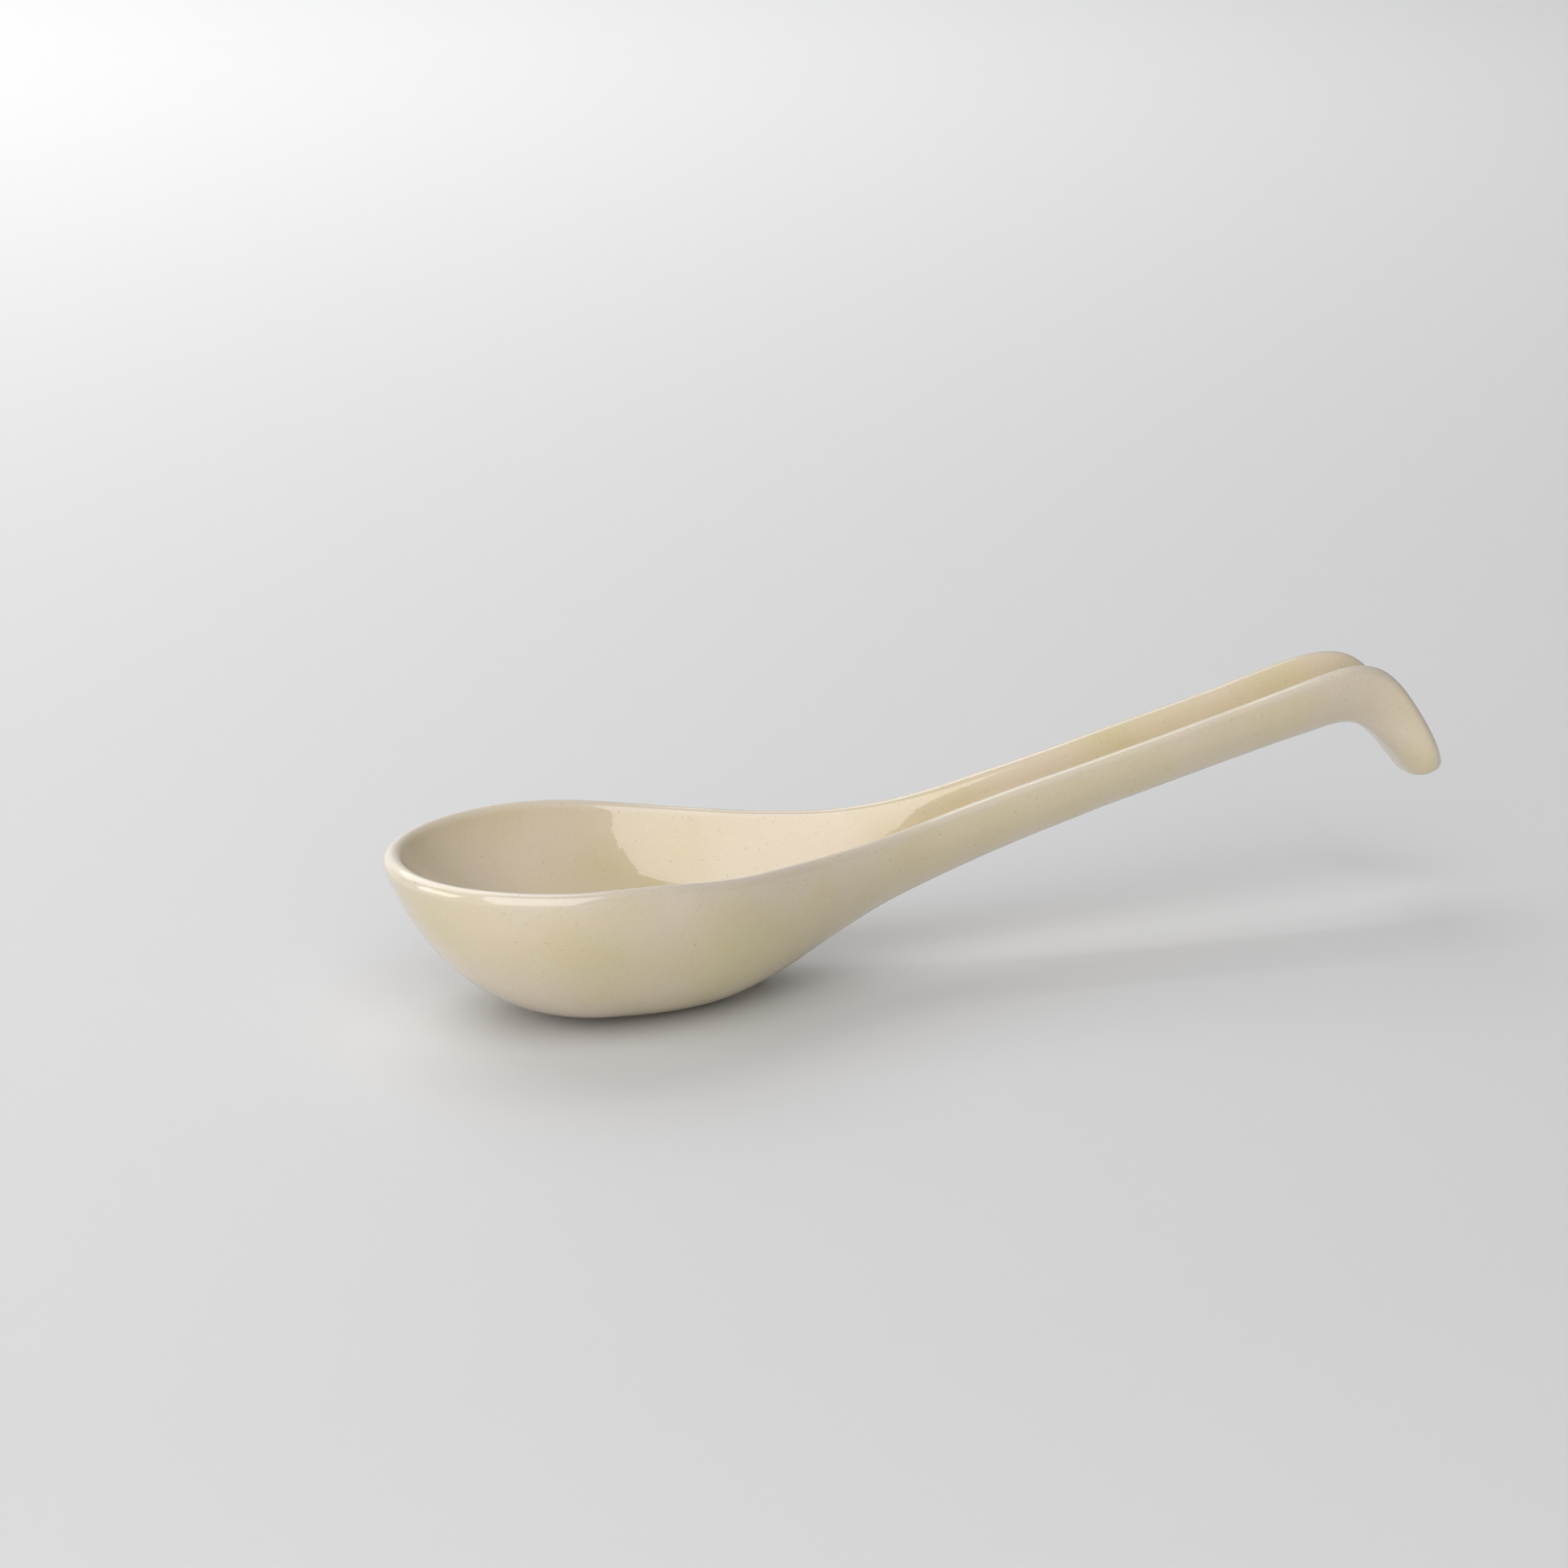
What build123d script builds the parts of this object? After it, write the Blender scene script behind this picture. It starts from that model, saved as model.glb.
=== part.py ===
"""Ceramic soup spoon with a deep oval bowl and a hooked, shallow-troughed handle.

Frame: millimetres, +Z up, origin at the centre of the bare clay foot that the spoon
stands on, +X along the handle towards the hook, mirror plane at Y = 0.

The fired clay body and the glaze coat around it are two solids. Both come from one form:
half-sections drawn in frames that fan round the nose of the bowl and then march along
the handle, lofted, trimmed at the mirror plane and mirrored.
"""
from build123d import *
from collections import namedtuple
from math import acos, cos, degrees, radians, sin
import os

# ---- glaze and foot ------------------------------------------------------------------
GLAZE = 0.3              # thickness of the glass coat
FOOT_RELIEF = 0.5        # height of the keel points over the face of the bare foot
FOOT_LENGTH = 32.0       # bare oval foot, along X
FOOT_WIDTH = 10.0
FOOT_HEIGHT = 7.0        # reaches up into the clay floor
FOOT_FLARE = 1.2         # how much the foot widens per millimetre of height

# ---- bowl ----------------------------------------------------------------------------
RIM_CENTRE = -15.0       # X of the centre of the half-oval rim
NOSE_REACH = 26.6        # from that centre forward to the nose
NOSE_KEEL = -12.0        # X of the keel point that the nose section starts from
NOSE_RISE = 0.8          # height of that keel point over the lowest line of the bowl
MIDSHIP = -6.5           # X where the fan of nose frames ends, across the bowl
BOWL_HALF = 23.8         # half of the bowl's width over its rim
BOWL_HEIGHT = 24.8       # rim above the lowest line
BOWL_FLOOR = 10.2        # floor thickness
BOWL_FLAT = 5.8          # half width of the flat keel
WALL = 2.8               # thickness of the rim, and of the lips along the handle
NOSE_FRAMES = (84, 74, 60, 45, 30, 15, 0)     # degrees round from the nose
NOSE_RAKE = 19.0         # degrees that the nose wall leans out at its rim
BOWL_LIP = 168           # degrees that the rounded rim turns through, outside to inside

# ---- section shape -------------------------------------------------------------------
OVERLAP = 0.5            # half-sections run this far past the mirror plane
FULL = 0.53              # Bezier handle of a round-bottomed section
LEAN = 0.46              # Bezier handle of the flatter nose section
BOWL_HOLLOW = 0.32       # Bezier handle of the bowl's hollow, which thickens the wall low down
TROUGH_HOLLOW = 0.48     # Bezier handle of the rounder trough, from the neck to the tip

# A station across the axis: keel point, tilt of the section, half width, height over the
# keel, floor thickness under the trough, half width of the flat keel, turn of the lip.
Station = namedtuple("Station", "x z tilt half height floor flat turn")
STATIONS = (
    Station(5.0, 0.0, 0, 20.8, 23.1, 9.4, 5.2, 168),
    Station(13.5, 1.5, 1, 17.3, 21.0, 8.2, 3.8, 168),
    Station(24.5, 5.0, 5, 13.1, 17.1, 5.8, 1.0, 160),
    Station(35.0, 9.4, 8, 9.4, 13.0, 4.8, 1.0, 148),
    Station(45.0, 12.6, 11, 7.2, 11.2, 4.8, 1.0, 138),
    Station(55.5, 15.8, 12, 6.5, 10.1, 5.0, 1.0, 133),
    Station(70.0, 19.5, 13, 6.4, 9.4, 5.0, 1.0, 133),
    Station(85.0, 22.8, 13, 6.5, 9.4, 5.0, 1.0, 133),
    Station(100.0, 26.1, 12, 6.4, 9.4, 5.0, 1.0, 133),
    Station(110.0, 28.0, 7, 6.5, 9.9, 5.2, 1.0, 135),
    Station(117.1, 28.6, -15, 5.9, 9.8, 5.3, 1.0, 142),
    Station(123.4, 24.8, -47, 6.0, 6.8, 5.0, 1.0, 132),
    Station(128.1, 19.6, -60, 6.0, 4.8, 4.9, 1.0, 105),
)
TIP_REACH = 2.4          # from the last station to the end of the rounded tip
TIP_TURNS = (25, 50, 70, 84)     # degrees round the tip's quarter turn


def half_section(
    plane, reach, height, floor, flat, inset, full, hollow, rake=0, turn=180, shrink=1
):
    """Half of a section: flat keel, wall, round lip, hollow, floor and closing line.

    On the plane, X runs outwards from just past the mirror plane and Y up from the keel.
    inset draws the outline in by the glaze's thickness. shrink scales it about its middle.
    """
    lip = WALL / 2 - inset
    start = flat + OVERLAP
    low, high = inset, height - inset - lip
    outer, inner = radians(-rake), radians(turn - rake)
    centre = reach - inset - lip

    def at(x, y):
        return (OVERLAP + (x - OVERLAP) * shrink, height / 2 + (y - height / 2) * shrink)

    def on_lip(angle):
        return (centre + lip * cos(angle), high + lip * sin(angle))

    top, crest, end = on_lip(outer), on_lip((outer + inner) / 2), on_lip(inner)
    rise = full * (top[1] - low)
    bed = floor - inset
    pull = hollow * (abs(sin(inner)) * (end[0] - start) + abs(cos(inner)) * (end[1] - bed))
    with BuildSketch(plane) as section:
        with BuildLine():
            Line((0, at(0, low)[1]), at(start, low))
            Bezier(
                at(start, low),
                at(start + full * (top[0] - start), low),
                at(top[0] + rise * sin(outer), top[1] - rise * cos(outer)),
                at(*top),
            )
            ThreePointArc(at(*top), at(*crest), at(*end))
            Bezier(
                at(*end),
                at(end[0] - pull * sin(inner), end[1] + pull * cos(inner)),
                at(start + hollow * (end[0] - start), bed),
                at(start, bed),
            )
            Line(at(start, bed), (0, at(0, bed)[1]))
            Line((0, at(0, bed)[1]), (0, at(0, low)[1]))
        make_face()
    return section.sketch.face()


def nose_sections(inset):
    """Sections that fan round the bowl's nose about the flat keel, from the stem aft."""
    past_stem = degrees(acos(-OVERLAP / BOWL_HALF))
    sections = []
    for turn in (past_stem, *NOSE_FRAMES):
        fore, side = sin(radians(turn)), cos(radians(turn))
        rise = NOSE_RISE * fore ** 2
        keel = Vector(MIDSHIP + (NOSE_KEEL - MIDSHIP) * fore, -OVERLAP, FOOT_RELIEF + rise)
        rim = Vector(RIM_CENTRE - NOSE_REACH * fore, BOWL_HALF * side, FOOT_RELIEF + rise)
        outwards = (rim - keel).normalized()
        plane = Plane(keel, x_dir=outwards, z_dir=outwards.cross(Vector(0, 0, 1)))
        section = half_section(
            plane, (rim - keel).length, BOWL_HEIGHT - rise, BOWL_FLOOR, BOWL_FLAT, inset,
            full=FULL + (LEAN - FULL) * fore ** 2, hollow=BOWL_HOLLOW,
            rake=NOSE_RAKE * fore ** 2, turn=BOWL_LIP,
        )
        sections.append(section)
    return sections


def station_section(station, inset, along=0.0, shrink=1.0):
    """Section at a station, moved along the handle's run and shrunk for the tip."""
    lean = radians(station.tilt)
    run = Vector(cos(lean), 0, sin(lean))
    keel = Vector(station.x, -OVERLAP, FOOT_RELIEF + station.z) + run * along
    plane = Plane(keel, x_dir=(0, 1, 0), z_dir=run)
    return half_section(
        plane, station.half + OVERLAP, station.height, station.floor, station.flat, inset,
        full=FULL, hollow=TROUGH_HOLLOW, turn=station.turn, shrink=shrink,
    )


def spoon_form(inset):
    """Loft half of the spoon from its nose to the tip of its hook, trim it and mirror it."""
    sections = nose_sections(inset)
    for station in STATIONS:
        sections.append(station_section(station, inset))
    for turn in TIP_TURNS:
        along = (TIP_REACH - inset) * sin(radians(turn))
        sections.append(station_section(STATIONS[-1], inset, along, cos(radians(turn))))
    with BuildPart() as form:
        loft(sections)
        split(bisect_by=Plane.XZ, keep=Keep.BOTTOM)
        mirror(about=Plane.XZ)
    return form.part


def flared_foot():
    """Oval foot that widens upwards into the clay floor."""
    with BuildPart() as foot:
        for height in (0, FOOT_HEIGHT):
            grow = height * FOOT_FLARE
            with BuildSketch(Plane.XY.offset(height)):
                Ellipse(FOOT_LENGTH / 2 + grow, FOOT_WIDTH / 2 + grow)
        loft()
    return foot.part


os.makedirs("parts", exist_ok=True)

# ---- clay body, with the bare foot that the spoon stands on -----------------------------
with BuildPart() as clay_body:
    add(spoon_form(GLAZE))
    add(flared_foot())
clay_body.part.label = "clay_body"
export_step(clay_body.part, "parts/clay_body.step")

# ---- glaze coat over everything but the foot --------------------------------------------
with BuildPart() as glaze_coat:
    add(spoon_form(0))
    add(clay_body.part, mode=Mode.SUBTRACT)
glaze_coat.part.label = "glaze_coat"
export_step(glaze_coat.part, "parts/glaze_coat.step")
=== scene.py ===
"""Glazed ceramic soup spoon on a pale studio sweep.

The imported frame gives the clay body, whose bare foot shows under the bowl. The glaze coat
is built here as one smooth closed skin on the same half-sections as the CAD form, with
the slight unevenness of a hand-finished piece, and it stands for the CAD glaze coat.
Lengths are in millimetres until a mesh is written, and Blender's scene is in metres.
"""
from collections import namedtuple
from math import cos, pi, radians, sin

import bmesh
import bpy
import numpy as np
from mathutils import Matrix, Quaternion, Vector, noise
from mathutils.kdtree import KDTree


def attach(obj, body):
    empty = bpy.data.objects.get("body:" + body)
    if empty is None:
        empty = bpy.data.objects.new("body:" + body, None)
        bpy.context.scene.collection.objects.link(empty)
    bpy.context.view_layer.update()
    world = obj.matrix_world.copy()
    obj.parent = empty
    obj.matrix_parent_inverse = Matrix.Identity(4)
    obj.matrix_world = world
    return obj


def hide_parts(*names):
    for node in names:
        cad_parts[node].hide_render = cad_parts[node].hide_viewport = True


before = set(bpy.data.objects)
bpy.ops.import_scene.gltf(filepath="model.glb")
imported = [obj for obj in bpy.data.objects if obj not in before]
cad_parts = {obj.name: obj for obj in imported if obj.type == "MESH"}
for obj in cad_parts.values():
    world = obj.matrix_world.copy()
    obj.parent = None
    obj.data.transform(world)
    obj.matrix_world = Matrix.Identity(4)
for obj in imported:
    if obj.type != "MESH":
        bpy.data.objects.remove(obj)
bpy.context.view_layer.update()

MM = 0.001

# ---- the form: the same driving dimensions as the CAD glaze coat -------------------------
FOOT_RELIEF = 0.5
FOOT_LENGTH = 32.0
FOOT_WIDTH = 10.0
FOOT_HEIGHT = 7.0
FOOT_FLARE = 1.2
RIM_CENTRE = -15.0
NOSE_REACH = 26.6
NOSE_KEEL = -12.0
NOSE_RISE = 0.8
MIDSHIP = -6.5
BOWL_HALF = 23.8
BOWL_HEIGHT = 24.8
BOWL_FLOOR = 10.2
BOWL_FLAT = 5.8
WALL = 2.8
NOSE_RAKE = 19.0
BOWL_LIP = 168
FULL = 0.53
LEAN = 0.46
BOWL_HOLLOW = 0.32
TROUGH_HOLLOW = 0.48
NOSE_FRAMES = (90, 84, 74, 60, 45, 30, 15, 0)

Station = namedtuple("Station", "x z tilt half height floor flat turn")
STATIONS = (
    Station(5.0, 0.0, 0, 20.8, 23.1, 9.4, 5.2, 168),
    Station(13.5, 1.5, 1, 17.3, 21.0, 8.2, 3.8, 168),
    Station(24.5, 5.0, 5, 13.1, 17.1, 5.8, 1.0, 160),
    Station(35.0, 9.4, 8, 9.4, 13.0, 4.8, 1.0, 148),
    Station(45.0, 12.6, 11, 7.2, 11.2, 4.8, 1.0, 138),
    Station(55.5, 15.8, 12, 6.5, 10.1, 5.0, 1.0, 133),
    Station(70.0, 19.5, 13, 6.4, 9.4, 5.0, 1.0, 133),
    Station(85.0, 22.8, 13, 6.5, 9.4, 5.0, 1.0, 133),
    Station(100.0, 26.1, 12, 6.4, 9.4, 5.0, 1.0, 133),
    Station(110.0, 28.0, 7, 6.5, 9.9, 5.2, 1.0, 135),
    Station(117.1, 28.6, -15, 5.9, 9.8, 5.3, 1.0, 142),
    Station(123.4, 24.8, -47, 6.0, 6.8, 5.0, 1.0, 132),
    Station(128.1, 19.6, -60, 6.0, 4.8, 4.9, 1.0, 105),
)
TIP_REACH = 2.4
TIP_TURNS = (25, 50, 70, 84)

# ---- mesh density, and the unevenness of the real piece ----------------------------------
STEP = 0.7               # spacing of the rows along the spoon
FLAT_CELLS = 4           # cells over each flat
WALL_CELLS = 34          # cells up each wall
LIP_CELLS = 14           # cells round the lip
COAT = 0.26              # thickness of the skin
FOOT_GAP = 0.12          # bare line between the glaze and the clay foot
CUTTER_LOW = -1.0        # the cutter for the foot starts this far under the floor
CUTTER_SIDES = 160
SWAY = 0.16              # slow wander of the surface
SWAY_SIZE = 30.0
DIMPLE = 0.05            # shallow hollows left by fettling
DIMPLE_SIZE = 7.0

# ---- colours, linear ---------------------------------------------------------------------
CREAM = (0.67, 0.567, 0.43, 1)
STRAW = (0.62, 0.53, 0.31, 1)
WARM = (0.70, 0.585, 0.46, 1)
THIN = (0.60, 0.54, 0.47, 1)
GRAIN = (0.52, 0.44, 0.30, 1)
SPECK = (0.36, 0.28, 0.17, 1)
PATCH_YELLOW = (0.63, 0.55, 0.28, 1)
BUFF = (0.55, 0.46, 0.35, 1)
SAND = (0.48, 0.39, 0.28, 1)
GROG = (0.30, 0.22, 0.15, 1)

# Yellower patches on the near side of the bowl and its nose, along the near side of the handle
# and at the hook's tip: centre and half sizes in millimetres, strength.
YELLOW_PATCHES = (
    ((4.0, -21.0, 11.0), (19.0, 13.0, 10.0), 0.7),
    ((-24.0, -19.0, 14.0), (12.0, 10.0, 8.0), 0.25),
    ((70.0, -8.0, 20.0), (62.0, 6.0, 16.0), 0.5),
    ((127.0, -4.0, 21.0), (8.0, 8.0, 7.0), 0.5),
)

# ---- surface -----------------------------------------------------------------------------
CLOUDED = 0.30           # strength of the warm clouds
GRAINY = 0.24            # strength of the fine grain
SPECKLED = 0.45          # strength of the specks
RIM_ZONE = ((0.40, 0.0), (0.47, 1.0), (0.53, 1.0), (0.58, 0.0))     # share of the way round
GLAZE_ROUGHNESS = (0.26, 0.42)
COAT_ROUGHNESS = 0.035
COAT_IOR = 1.65
PEEL_DEPTH = 0.06        # relief in the glaze, in millimetres
CLAY_DEPTH = 0.12        # relief in the bare clay, in millimetres

# ---- view --------------------------------------------------------------------------------
VIEW_TURN = -24.49
VIEW_LIFT = 16.96
VIEW_ROLL = 0.30
VIEW_DISTANCE = 624.0
AIM = (20.08, 0.0, 30.33)
LENS = 96.46
SENSOR = 36.0

# ---- sweep, in metres --------------------------------------------------------------------
SWEEP_FRONT = 1.6        # from the spoon to the front edge
SWEEP_BACK = 1.5         # from the spoon to the bend
SWEEP_BEND = 0.7         # radius of the bend
SWEEP_TOP = 3.0
SWEEP_HALF = 3.0         # half of the width
SWEEP_STEPS = 24         # faces round the bend

# ---- light -------------------------------------------------------------------------------
WORLD_STRENGTH = 0.28
WORLD_COLOUR = (0.80, 0.81, 0.83, 1)
FLOOR_COLOUR = (0.62, 0.62, 0.625, 1)
WHITE = (1.0, 1.0, 1.0)
KEY_WHITE = (1.0, 0.995, 0.99)

# Softboxes: place, the point they face, width and height in metres, watts, colour.
SOFTBOXES = {
    "key": ((-0.54, -0.87, 0.81), (0.0, 0.0, 0.03), (1.5, 2.1), 20.0, KEY_WHITE),
    "side": ((-1.25, 0.25, 0.45), (0.0, 0.0, 0.02), (0.8, 0.7), 5.3, WHITE),
    "top": ((-0.2, 1.1, 1.4), (0.0, 0.1, 0.0), (1.6, 1.4), 10.0, WHITE),
    "backdrop": ((-0.4, 1.0, 1.5), (-0.2, 2.4, 0.5), (1.8, 0.8), 34.0, WHITE),
}


def bezier(points, count):
    """count + 1 points along a cubic Bezier."""
    t = np.linspace(0, 1, count + 1)[:, None]
    a, b, c, d = (np.array(p, float) for p in points)
    return a * (1 - t) ** 3 + 3 * b * t * (1 - t) ** 2 + 3 * c * t ** 2 * (1 - t) + d * t ** 3


def half_section(reach, height, floor, flat, full, hollow, rake=0.0, turn=180.0, shrink=1.0):
    """Half of a section, from the keel round the lip to the middle of the hollow."""
    lip = WALL / 2
    outer, inner = radians(-rake), radians(turn - rake)
    middle, high = reach - lip, height - lip
    angles = np.linspace(outer, inner, LIP_CELLS + 1)
    arc = np.stack([middle + lip * np.cos(angles), high + lip * np.sin(angles)], 1)
    top, end = arc[0], arc[-1]
    rise = full * top[1]
    pull = hollow * (abs(sin(inner)) * (end[0] - flat) + abs(cos(inner)) * (end[1] - floor))
    wall = bezier(
        ((flat, 0), (flat + full * (top[0] - flat), 0),
         (top[0] + rise * sin(outer), top[1] - rise * cos(outer)), top), WALL_CELLS)
    trough = bezier(
        (end, (end[0] - pull * sin(inner), end[1] + pull * cos(inner)),
         (flat + hollow * (end[0] - flat), floor), (flat, floor)), WALL_CELLS)
    across = np.linspace(0, flat, FLAT_CELLS + 1)
    keel = np.stack([across, 0 * across], 1)
    bed = np.stack([across[::-1], 0 * across + floor], 1)
    line = np.concatenate([keel, wall[1:], arc[1:], trough[1:], bed[1:]])
    mid = np.array([0, height / 2])
    return mid + (line - mid) * shrink


def placed(line, keel, outwards, up):
    """Points in space of a section's line, from its keel point and its two directions."""
    return np.array(keel) + np.outer(line[:, 0], outwards) + np.outer(line[:, 1], up)


def nose_section(turn):
    """Section of the fan round the bowl's nose, turned from across the bowl."""
    fore, side = sin(radians(turn)), cos(radians(turn))
    rise = NOSE_RISE * fore ** 2
    keel = np.array([MIDSHIP + (NOSE_KEEL - MIDSHIP) * fore, 0, FOOT_RELIEF + rise])
    rim = np.array([RIM_CENTRE - NOSE_REACH * fore, BOWL_HALF * side, FOOT_RELIEF + rise])
    reach = np.linalg.norm(rim - keel)
    full = FULL + (LEAN - FULL) * fore ** 2
    line = half_section(
        reach, BOWL_HEIGHT - rise, BOWL_FLOOR, BOWL_FLAT, full, BOWL_HOLLOW,
        rake=NOSE_RAKE * fore ** 2, turn=BOWL_LIP)
    return placed(line, keel, (rim - keel) / reach, (0, 0, 1))


def station_section(s, along=0.0, shrink=1.0):
    """Section at a station, moved along the handle's run and shrunk for the tip."""
    lean = radians(s.tilt)
    keel = (s.x + along * cos(lean), 0, s.z + FOOT_RELIEF + along * sin(lean))
    line = half_section(
        s.half, s.height, s.floor, s.flat, FULL, TROUGH_HOLLOW, turn=s.turn, shrink=shrink)
    return placed(line, keel, (0, 1, 0), (-sin(lean), 0, cos(lean)))


def spline(knots, values, at):
    """Natural cubic spline through values (along axis 0) at knots, read at points at."""
    n, h = len(knots), np.diff(knots)
    flat = values.reshape(n, -1)
    slope = np.diff(flat, axis=0) / h[:, None]
    rows, rhs = np.eye(n), np.zeros_like(flat)
    for i in range(1, n - 1):
        rows[i, i - 1:i + 2] = h[i - 1], 2 * (h[i - 1] + h[i]), h[i]
        rhs[i] = 6 * (slope[i] - slope[i - 1])
    bend = np.linalg.solve(rows, rhs)
    k = np.clip(np.searchsorted(knots, at, side="right") - 1, 0, n - 2)
    t, step = (at - knots[k])[:, None], h[k][:, None]
    b = slope[k] - step * (2 * bend[k] + bend[k + 1]) / 6
    out = flat[k] + t * (b + t * (bend[k] / 2 + t * (bend[k + 1] - bend[k]) / (6 * step)))
    return out.reshape((len(at),) + values.shape[1:])


def form_rows():
    """Rows of section points from the stem of the nose to the tip of the hook, +Y half.

    The fan is carried past the stem by its own mirror image, so that the skin crosses the
    mirror plane square at the nose.
    """
    fan = [nose_section(turn) for turn in NOSE_FRAMES]
    mirrored = [f * (1, -1, 1) for f in fan[3:0:-1]]
    tail = [station_section(s) for s in STATIONS]
    for turn in TIP_TURNS:
        last = STATIONS[-1]
        tail.append(station_section(last, TIP_REACH * sin(radians(turn)), cos(radians(turn))))
    rows = np.array(mirrored + fan + tail)
    gaps = np.linalg.norm(np.diff(rows, axis=0), axis=2).mean(axis=1)
    knots = np.concatenate([[0], np.cumsum(gaps)])
    start = knots[len(mirrored)]
    count = int((knots[-1] - start) / STEP) + 1
    fine = spline(knots, rows, np.linspace(start, knots[-1], count))
    fine[0, :, 1] = 0
    fine[:, 0, 1] = 0
    fine[:, -1, 1] = 0
    return fine


def wander(point):
    """Slow unevenness of the surface at a point, in millimetres."""
    slow = noise.noise(Vector(point) / SWAY_SIZE)
    fine = noise.noise(Vector(point) / DIMPLE_SIZE + Vector((40, 0, 0)))
    return SWAY * slow + DIMPLE * fine


def weld_halves(rows):
    """Vertices and faces of the closed form: the +Y half, its mirror image and the tip."""
    across, along = rows.shape[1], rows.shape[0]
    right = np.arange(along * across).reshape(along, across)
    left = right.copy()
    own = np.ones_like(left, bool)
    own[0, :] = own[:, 0] = own[:, -1] = False
    left[own] = along * across + np.arange(own.sum())
    points = np.concatenate([rows.reshape(-1, 3), (rows * (1, -1, 1))[own]])
    faces = []
    for grid in (right, left[:, ::-1]):
        a, b = grid[:-1, :-1], grid[:-1, 1:]
        c, d = grid[1:, 1:], grid[1:, :-1]
        faces += np.stack([a, b, c, d], -1).reshape(-1, 4).tolist()
    ring = right[-1].tolist() + left[-1, -2:0:-1].tolist()
    tip = len(points)
    points = np.concatenate([points, points[ring].mean(axis=0)[None]])
    faces += [[ring[i - 1], ring[i], tip] for i in range(len(ring))]
    zone = np.arange(across) / (across - 1.0)
    zones = np.concatenate([np.tile(zone, along), np.tile(zone, (along, 1))[own], [0.5]])
    return points, faces, zones


def new_object(name, points, faces):
    """Object with a mesh of points in metres, linked to the scene."""
    mesh = bpy.data.meshes.new(name)
    mesh.from_pydata([tuple(p) for p in points], [], faces)
    mesh.validate()
    piece = bpy.data.objects.new(name, mesh)
    bpy.context.scene.collection.objects.link(piece)
    return piece


def outward_normals(points, faces):
    """Vertex normals of a closed mesh, and its faces turned to face outwards."""
    probe = bpy.data.meshes.new("probe")
    probe.from_pydata([tuple(p) for p in points], [], faces)
    edit = bmesh.new()
    edit.from_mesh(probe)
    bmesh.ops.recalc_face_normals(edit, faces=edit.faces)
    edit.normal_update()
    normals = np.array([v.normal[:] for v in edit.verts])
    faces = [[v.index for v in f.verts] for f in edit.faces]
    edit.free()
    bpy.data.meshes.remove(probe)
    return normals, faces


def foot_cutter():
    """The flared oval that the glaze leaves bare, a hair wider than the clay foot."""
    points = []
    for z in (CUTTER_LOW, FOOT_HEIGHT):
        grow = FOOT_GAP + z * FOOT_FLARE
        long, wide = FOOT_LENGTH / 2 + grow, FOOT_WIDTH / 2 + grow
        for i in range(CUTTER_SIDES):
            turn = 2 * pi * i / CUTTER_SIDES
            points.append((long * cos(turn), wide * sin(turn), z))
    n = CUTTER_SIDES
    faces = [[i, (i + 1) % n, n + (i + 1) % n, n + i] for i in range(n)]
    faces += [list(range(n))[::-1], list(range(n, 2 * n))]
    return new_object("foot_cutter", np.array(points) * MM, faces)


def glaze_skin():
    """The glaze as a closed skin with an inner face, open round the foot."""
    points, faces, zones = weld_halves(form_rows())
    normals, faces = outward_normals(points, faces)
    points = points + normals * np.array([wander(p) for p in points])[:, None]
    inside = points - normals * COAT
    count = len(points)
    back = [[i + count for i in reversed(f)] for f in faces]
    skin = new_object("glaze_skin", np.concatenate([points, inside]) * MM, faces + back)
    cutter = foot_cutter()
    cut = skin.modifiers.new("foot", "BOOLEAN")
    cut.operation, cut.solver, cut.object = "DIFFERENCE", "EXACT", cutter
    depsgraph = bpy.context.evaluated_depsgraph_get()
    mesh = bpy.data.meshes.new_from_object(skin.evaluated_get(depsgraph))
    skin.modifiers.clear()
    skin.data = mesh
    bpy.data.objects.remove(cutter)
    tree = KDTree(count)
    for i, p in enumerate(points * MM):
        tree.insert(p, i)
    tree.balance()
    layer = mesh.attributes.new("zone", "FLOAT", "POINT")
    nearest = [tree.find(v.co)[1] for v in mesh.vertices]
    layer.data.foreach_set("value", zones[nearest].astype(np.float32))
    mesh.shade_smooth()
    return skin


# ---- materials ---------------------------------------------------------------------------
def node(tree, kind, **settings):
    """New node of a kind, with its own settings."""
    made = tree.nodes.new(kind)
    for name, value in settings.items():
        setattr(made, name, value)
    return made


def noise_field(tree, coords, scale, detail=2.0, roughness=0.5, offset=0.0):
    """Noise with features per millimetre, read in the piece's own coordinates."""
    place = node(tree, "ShaderNodeMapping")
    place.inputs["Location"].default_value = (offset, offset, offset)
    place.inputs["Scale"].default_value = (scale / MM,) * 3
    tree.links.new(coords, place.inputs["Vector"])
    made = node(tree, "ShaderNodeTexNoise")
    made.inputs["Scale"].default_value = 1.0
    made.inputs["Detail"].default_value = detail
    made.inputs["Roughness"].default_value = roughness
    tree.links.new(place.outputs["Vector"], made.inputs["Vector"])
    return made.outputs["Fac"]


def ramp(tree, value, stops):
    """A grey ramp: stops are (position, level)."""
    made = node(tree, "ShaderNodeValToRGB")
    elements = made.color_ramp.elements
    while len(elements) < len(stops):
        elements.new(0.5)
    for element, (position, level) in zip(elements, stops):
        element.position = position
        element.color = (level, level, level, 1)
    tree.links.new(value, made.inputs["Fac"])
    return made.outputs["Color"]


def mixed(tree, factor, first, second, blend="MIX"):
    """Colour mix of two colours or sockets, through the sockets of the node's colour mode."""
    made = node(tree, "ShaderNodeMix", data_type="RGBA", blend_type=blend)
    for index, value in ((0, factor), (6, first), (7, second)):
        if isinstance(value, (float, tuple)):
            made.inputs[index].default_value = value
        else:
            tree.links.new(value, made.inputs[index])
    return made.outputs[2]


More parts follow.
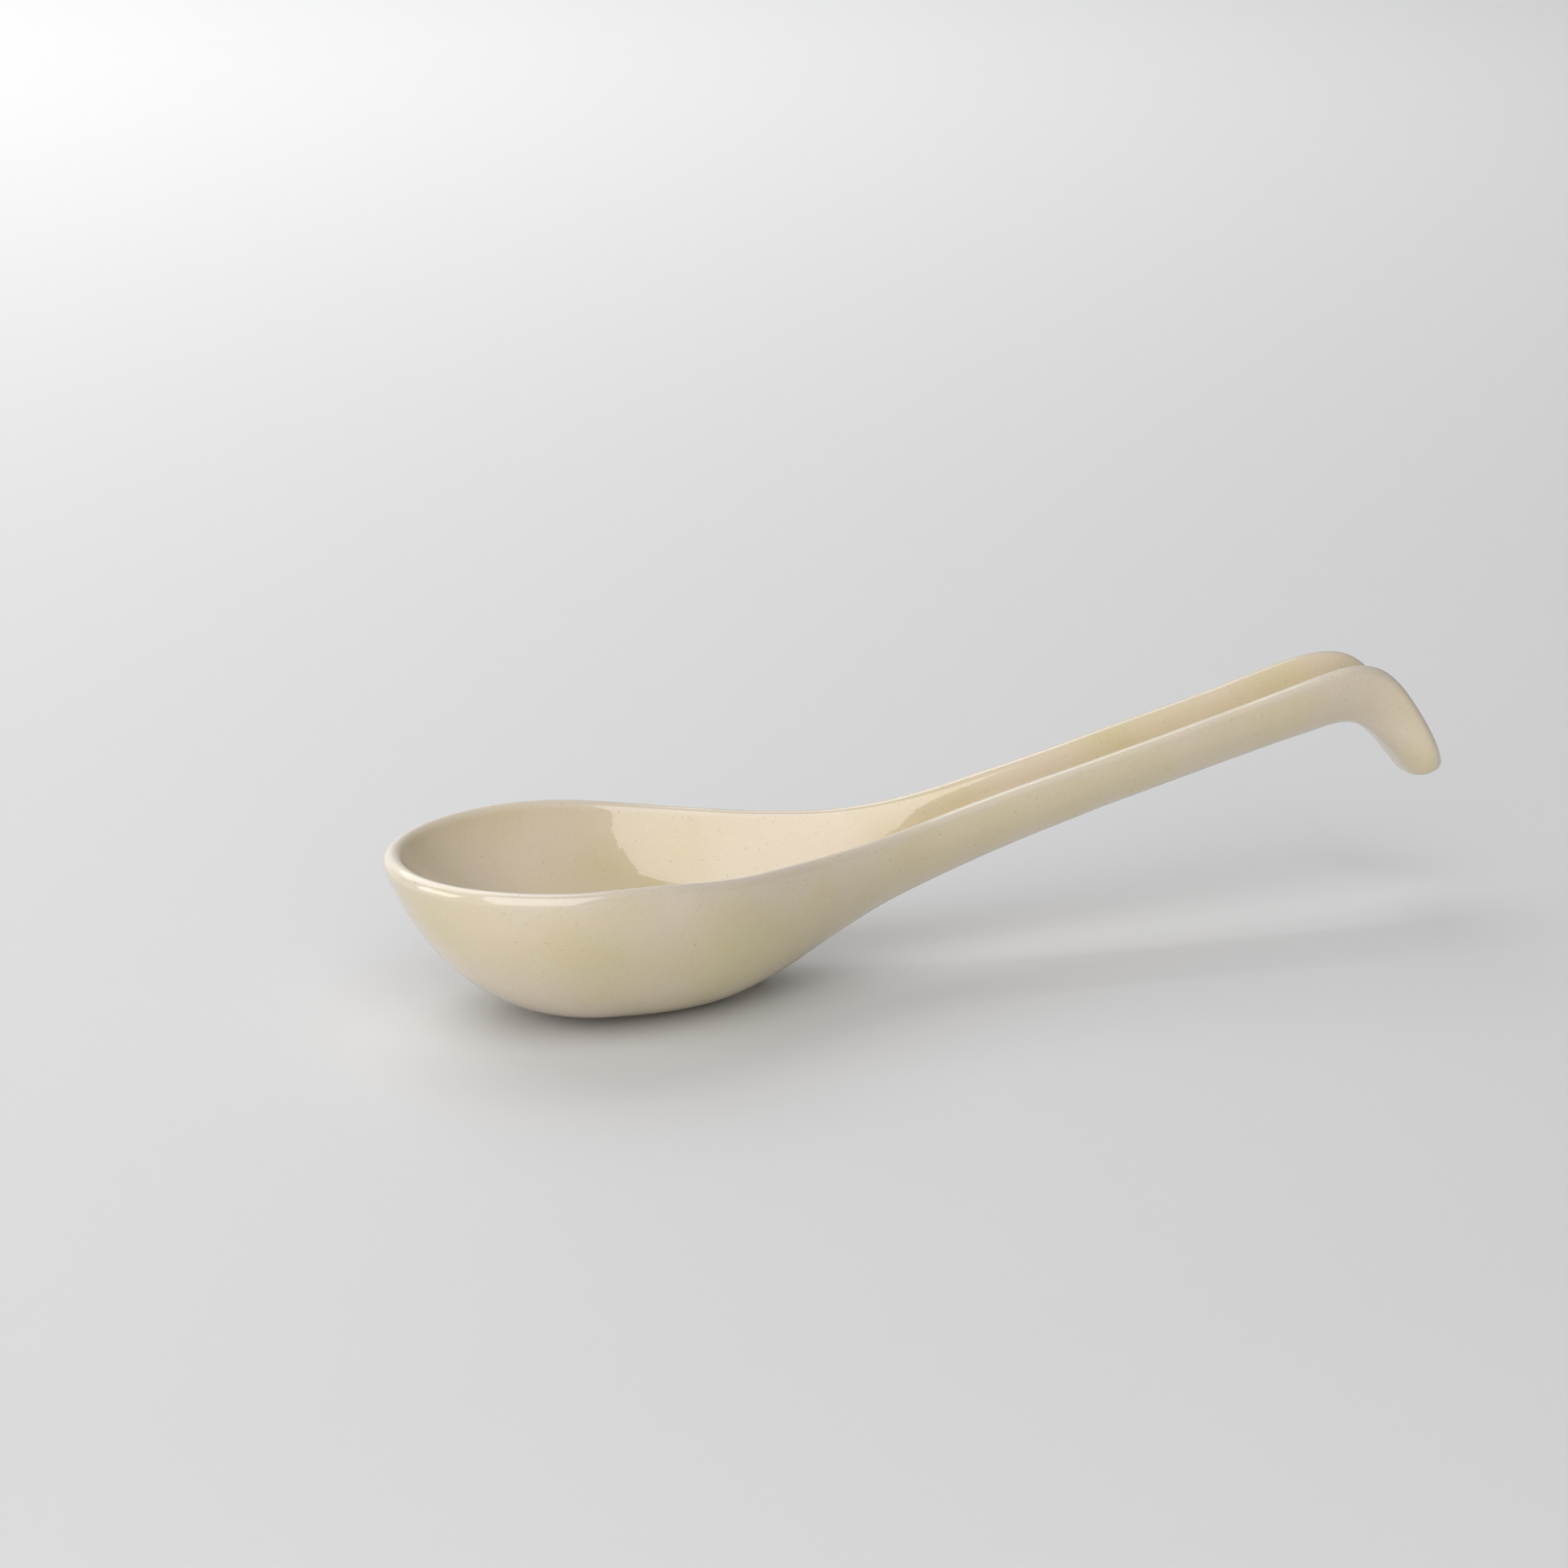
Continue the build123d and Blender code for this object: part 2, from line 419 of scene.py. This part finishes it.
def scaled(tree, value, factor, plus=0.0):
    """value * factor + plus."""
    made = node(tree, "ShaderNodeMath", operation="MULTIPLY_ADD")
    tree.links.new(value, made.inputs[0])
    made.inputs[1].default_value = factor
    made.inputs[2].default_value = plus
    return made.outputs[0]


def patch(tree, coords, centre, radius):
    """A soft round patch about a centre, ragged by noise, from 0 outside to 1 inside."""
    place = node(tree, "ShaderNodeMapping", vector_type="TEXTURE")
    place.inputs["Location"].default_value = tuple(c * MM for c in centre)
    place.inputs["Scale"].default_value = tuple(r * MM for r in radius)
    tree.links.new(coords, place.inputs["Vector"])
    ball = node(tree, "ShaderNodeTexGradient", gradient_type="SPHERICAL")
    tree.links.new(place.outputs["Vector"], ball.inputs["Vector"])
    ragged = noise_field(tree, coords, 0.14, 3.0, offset=23.0)
    return mixed(tree, 1.0, ramp(tree, ball.outputs["Fac"], ((0.0, 0.0), (0.7, 1.0))),
                 ramp(tree, ragged, ((0.2, 0.2), (0.6, 1.0))), "MULTIPLY")


def glaze_material():
    """Cream glaze: clouded colour, yellower patches on the near side, a thin greyer rim, specks
    and a clear coat.
    """
    material = bpy.data.materials.new("cream_glaze")
    material.use_nodes = True
    tree = material.node_tree
    shader = tree.nodes["Principled BSDF"]
    coords = node(tree, "ShaderNodeTexCoord").outputs["Object"]
    zone = node(tree, "ShaderNodeAttribute", attribute_name="zone").outputs["Fac"]

    broad = noise_field(tree, coords, 0.045, 2.0)
    broad = ramp(tree, broad, ((0.38, 0.0), (0.66, 1.0)))
    colour = mixed(tree, broad, CREAM, STRAW)
    cloud = noise_field(tree, coords, 0.16, 3.0, offset=7.0)
    cloud = ramp(tree, cloud, ((0.35, 0.0), (0.7, 1.0)))
    colour = mixed(tree, scaled(tree, cloud, CLOUDED), colour, WARM)
    for centre, radius, strength in YELLOW_PATCHES:
        yellow_patch = patch(tree, coords, centre, radius)
        colour = mixed(tree, scaled(tree, yellow_patch, strength), colour, PATCH_YELLOW)
    thin = ramp(tree, zone, RIM_ZONE)
    worn = scaled(tree, noise_field(tree, coords, 0.22, 3.0, offset=3.0), 1.0, 0.1)
    worn = mixed(tree, 1.0, thin, worn, "MULTIPLY")
    colour = mixed(tree, worn, colour, THIN)
    grain = ramp(tree, noise_field(tree, coords, 3.2, 2.0, 0.6), ((0.3, 0.0), (0.7, 1.0)))
    colour = mixed(tree, scaled(tree, grain, GRAINY), colour, GRAIN)
    specks = noise_field(tree, coords, 2.0, 1.0, offset=11.0)
    specks = ramp(tree, specks, ((0.70, 0.0), (0.76, 1.0)))
    colour = mixed(tree, scaled(tree, specks, SPECKLED), colour, SPECK)
    tree.links.new(colour, shader.inputs["Base Color"])

    gloss = noise_field(tree, coords, 0.12, 2.0, offset=5.0)
    gloss = scaled(tree, gloss, GLAZE_ROUGHNESS[1] - GLAZE_ROUGHNESS[0], GLAZE_ROUGHNESS[0])
    tree.links.new(gloss, shader.inputs["Roughness"])
    shader.inputs["Specular IOR Level"].default_value = 0.35
    shader.inputs["Coat Weight"].default_value = 1.0
    shader.inputs["Coat Roughness"].default_value = COAT_ROUGHNESS
    shader.inputs["Coat IOR"].default_value = COAT_IOR

    peel = noise_field(tree, coords, 0.5, 2.0, offset=2.0)
    pores = noise_field(tree, coords, 1.9, 1.0, offset=17.0)
    pores = ramp(tree, pores, ((0.20, 0.0), (0.30, 1.0)))
    height = mixed(tree, 0.35, peel, pores)
    bump = node(tree, "ShaderNodeBump")
    bump.inputs["Strength"].default_value = 0.35
    bump.inputs["Distance"].default_value = PEEL_DEPTH * MM
    tree.links.new(height, bump.inputs["Height"])
    tree.links.new(bump.outputs["Normal"], shader.inputs["Normal"])
    tree.links.new(bump.outputs["Normal"], shader.inputs["Coat Normal"])
    return material


def clay_material():
    """Matt, grainy buff clay."""
    material = bpy.data.materials.new("bare_clay")
    material.use_nodes = True
    tree = material.node_tree
    shader = tree.nodes["Principled BSDF"]
    coords = node(tree, "ShaderNodeTexCoord").outputs["Object"]
    tone = noise_field(tree, coords, 0.3, 4.0)
    colour = mixed(tree, tone, BUFF, SAND)
    grog = ramp(tree, noise_field(tree, coords, 2.2, 2.0, offset=9.0), ((0.66, 0.0), (0.72, 1.0)))
    colour = mixed(tree, scaled(tree, grog, 0.6), colour, GROG)
    tree.links.new(colour, shader.inputs["Base Color"])
    rough = scaled(tree, tone, 0.15, 0.78)
    tree.links.new(rough, shader.inputs["Roughness"])
    bump = node(tree, "ShaderNodeBump")
    bump.inputs["Strength"].default_value = 0.6
    bump.inputs["Distance"].default_value = CLAY_DEPTH * MM
    tree.links.new(noise_field(tree, coords, 2.6, 4.0, 0.65), bump.inputs["Height"])
    tree.links.new(bump.outputs["Normal"], shader.inputs["Normal"])
    return material


# ---- the pieces --------------------------------------------------------------------------
skin = glaze_skin()
skin.data.materials.clear()
skin.data.materials.append(glaze_material())
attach(skin, "root")
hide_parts("glaze_coat")

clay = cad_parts["clay_body"]
for clay_slot in clay.material_slots:
    clay_slot.material = clay_material()


# ---- sweep, light and camera -------------------------------------------------------------
def sweep():
    """Seamless pale floor that curves up into a wall behind the spoon."""
    profile = [(-SWEEP_FRONT, 0.0)]
    for i in range(SWEEP_STEPS + 1):
        turn = radians(90 * i / SWEEP_STEPS)
        y = SWEEP_BACK + SWEEP_BEND * sin(turn)
        profile.append((y, SWEEP_BEND - SWEEP_BEND * cos(turn)))
    profile.append((SWEEP_BACK + SWEEP_BEND, SWEEP_TOP))
    points, faces = [], []
    for x in (-SWEEP_HALF, SWEEP_HALF):
        points += [(x, y, z) for y, z in profile]
    n = len(profile)
    for i in range(n - 1):
        faces.append([i, i + 1, n + i + 1, n + i])
    floor = new_object("sweep", points, faces)
    floor.data.shade_smooth()
    material = bpy.data.materials.new("pale_sweep")
    material.use_nodes = True
    tree = material.node_tree
    shader = tree.nodes["Principled BSDF"]
    shader.inputs["Base Color"].default_value = FLOOR_COLOUR
    shader.inputs["Roughness"].default_value = 0.6
    floor.data.materials.append(material)


def softbox(name, place, aim, size, power, colour):
    """Rectangular area light at a place, turned to face a point."""
    data = bpy.data.lights.new(name, "AREA")
    data.shape = "RECTANGLE"
    data.size, data.size_y = size
    data.energy = power
    data.color = colour
    lamp = bpy.data.objects.new(name, data)
    lamp.location = place
    lamp.rotation_euler = (Vector(aim) - Vector(place)).to_track_quat("-Z", "Y").to_euler()
    bpy.context.scene.collection.objects.link(lamp)


def set_camera():
    """Camera that looks down on the spoon's side, turned a little towards its nose."""
    turn, lift = radians(VIEW_TURN), radians(VIEW_LIFT)
    look = Vector((-sin(turn) * cos(lift), cos(turn) * cos(lift), -sin(lift)))
    data = bpy.data.cameras.new("camera")
    data.sensor_width = SENSOR
    data.lens = LENS
    data.clip_start = 0.01
    camera = bpy.data.objects.new("camera", data)
    camera.location = Vector(AIM) * MM - look * VIEW_DISTANCE * MM
    roll = Quaternion((0, 0, 1), radians(VIEW_ROLL))
    camera.rotation_euler = (look.to_track_quat("-Z", "Y") @ roll).to_euler()
    bpy.context.scene.collection.objects.link(camera)
    bpy.context.scene.camera = camera


def set_world():
    """Even, slightly cool light from all round."""
    world = bpy.data.worlds.new("studio")
    world.use_nodes = True
    back = world.node_tree.nodes["Background"]
    back.inputs["Color"].default_value = WORLD_COLOUR
    back.inputs["Strength"].default_value = WORLD_STRENGTH
    bpy.context.scene.world = world


sweep()
set_world()
for title, settings in SOFTBOXES.items():
    softbox(title, *settings)
set_camera()
bpy.context.scene.view_settings.view_transform = "Standard"
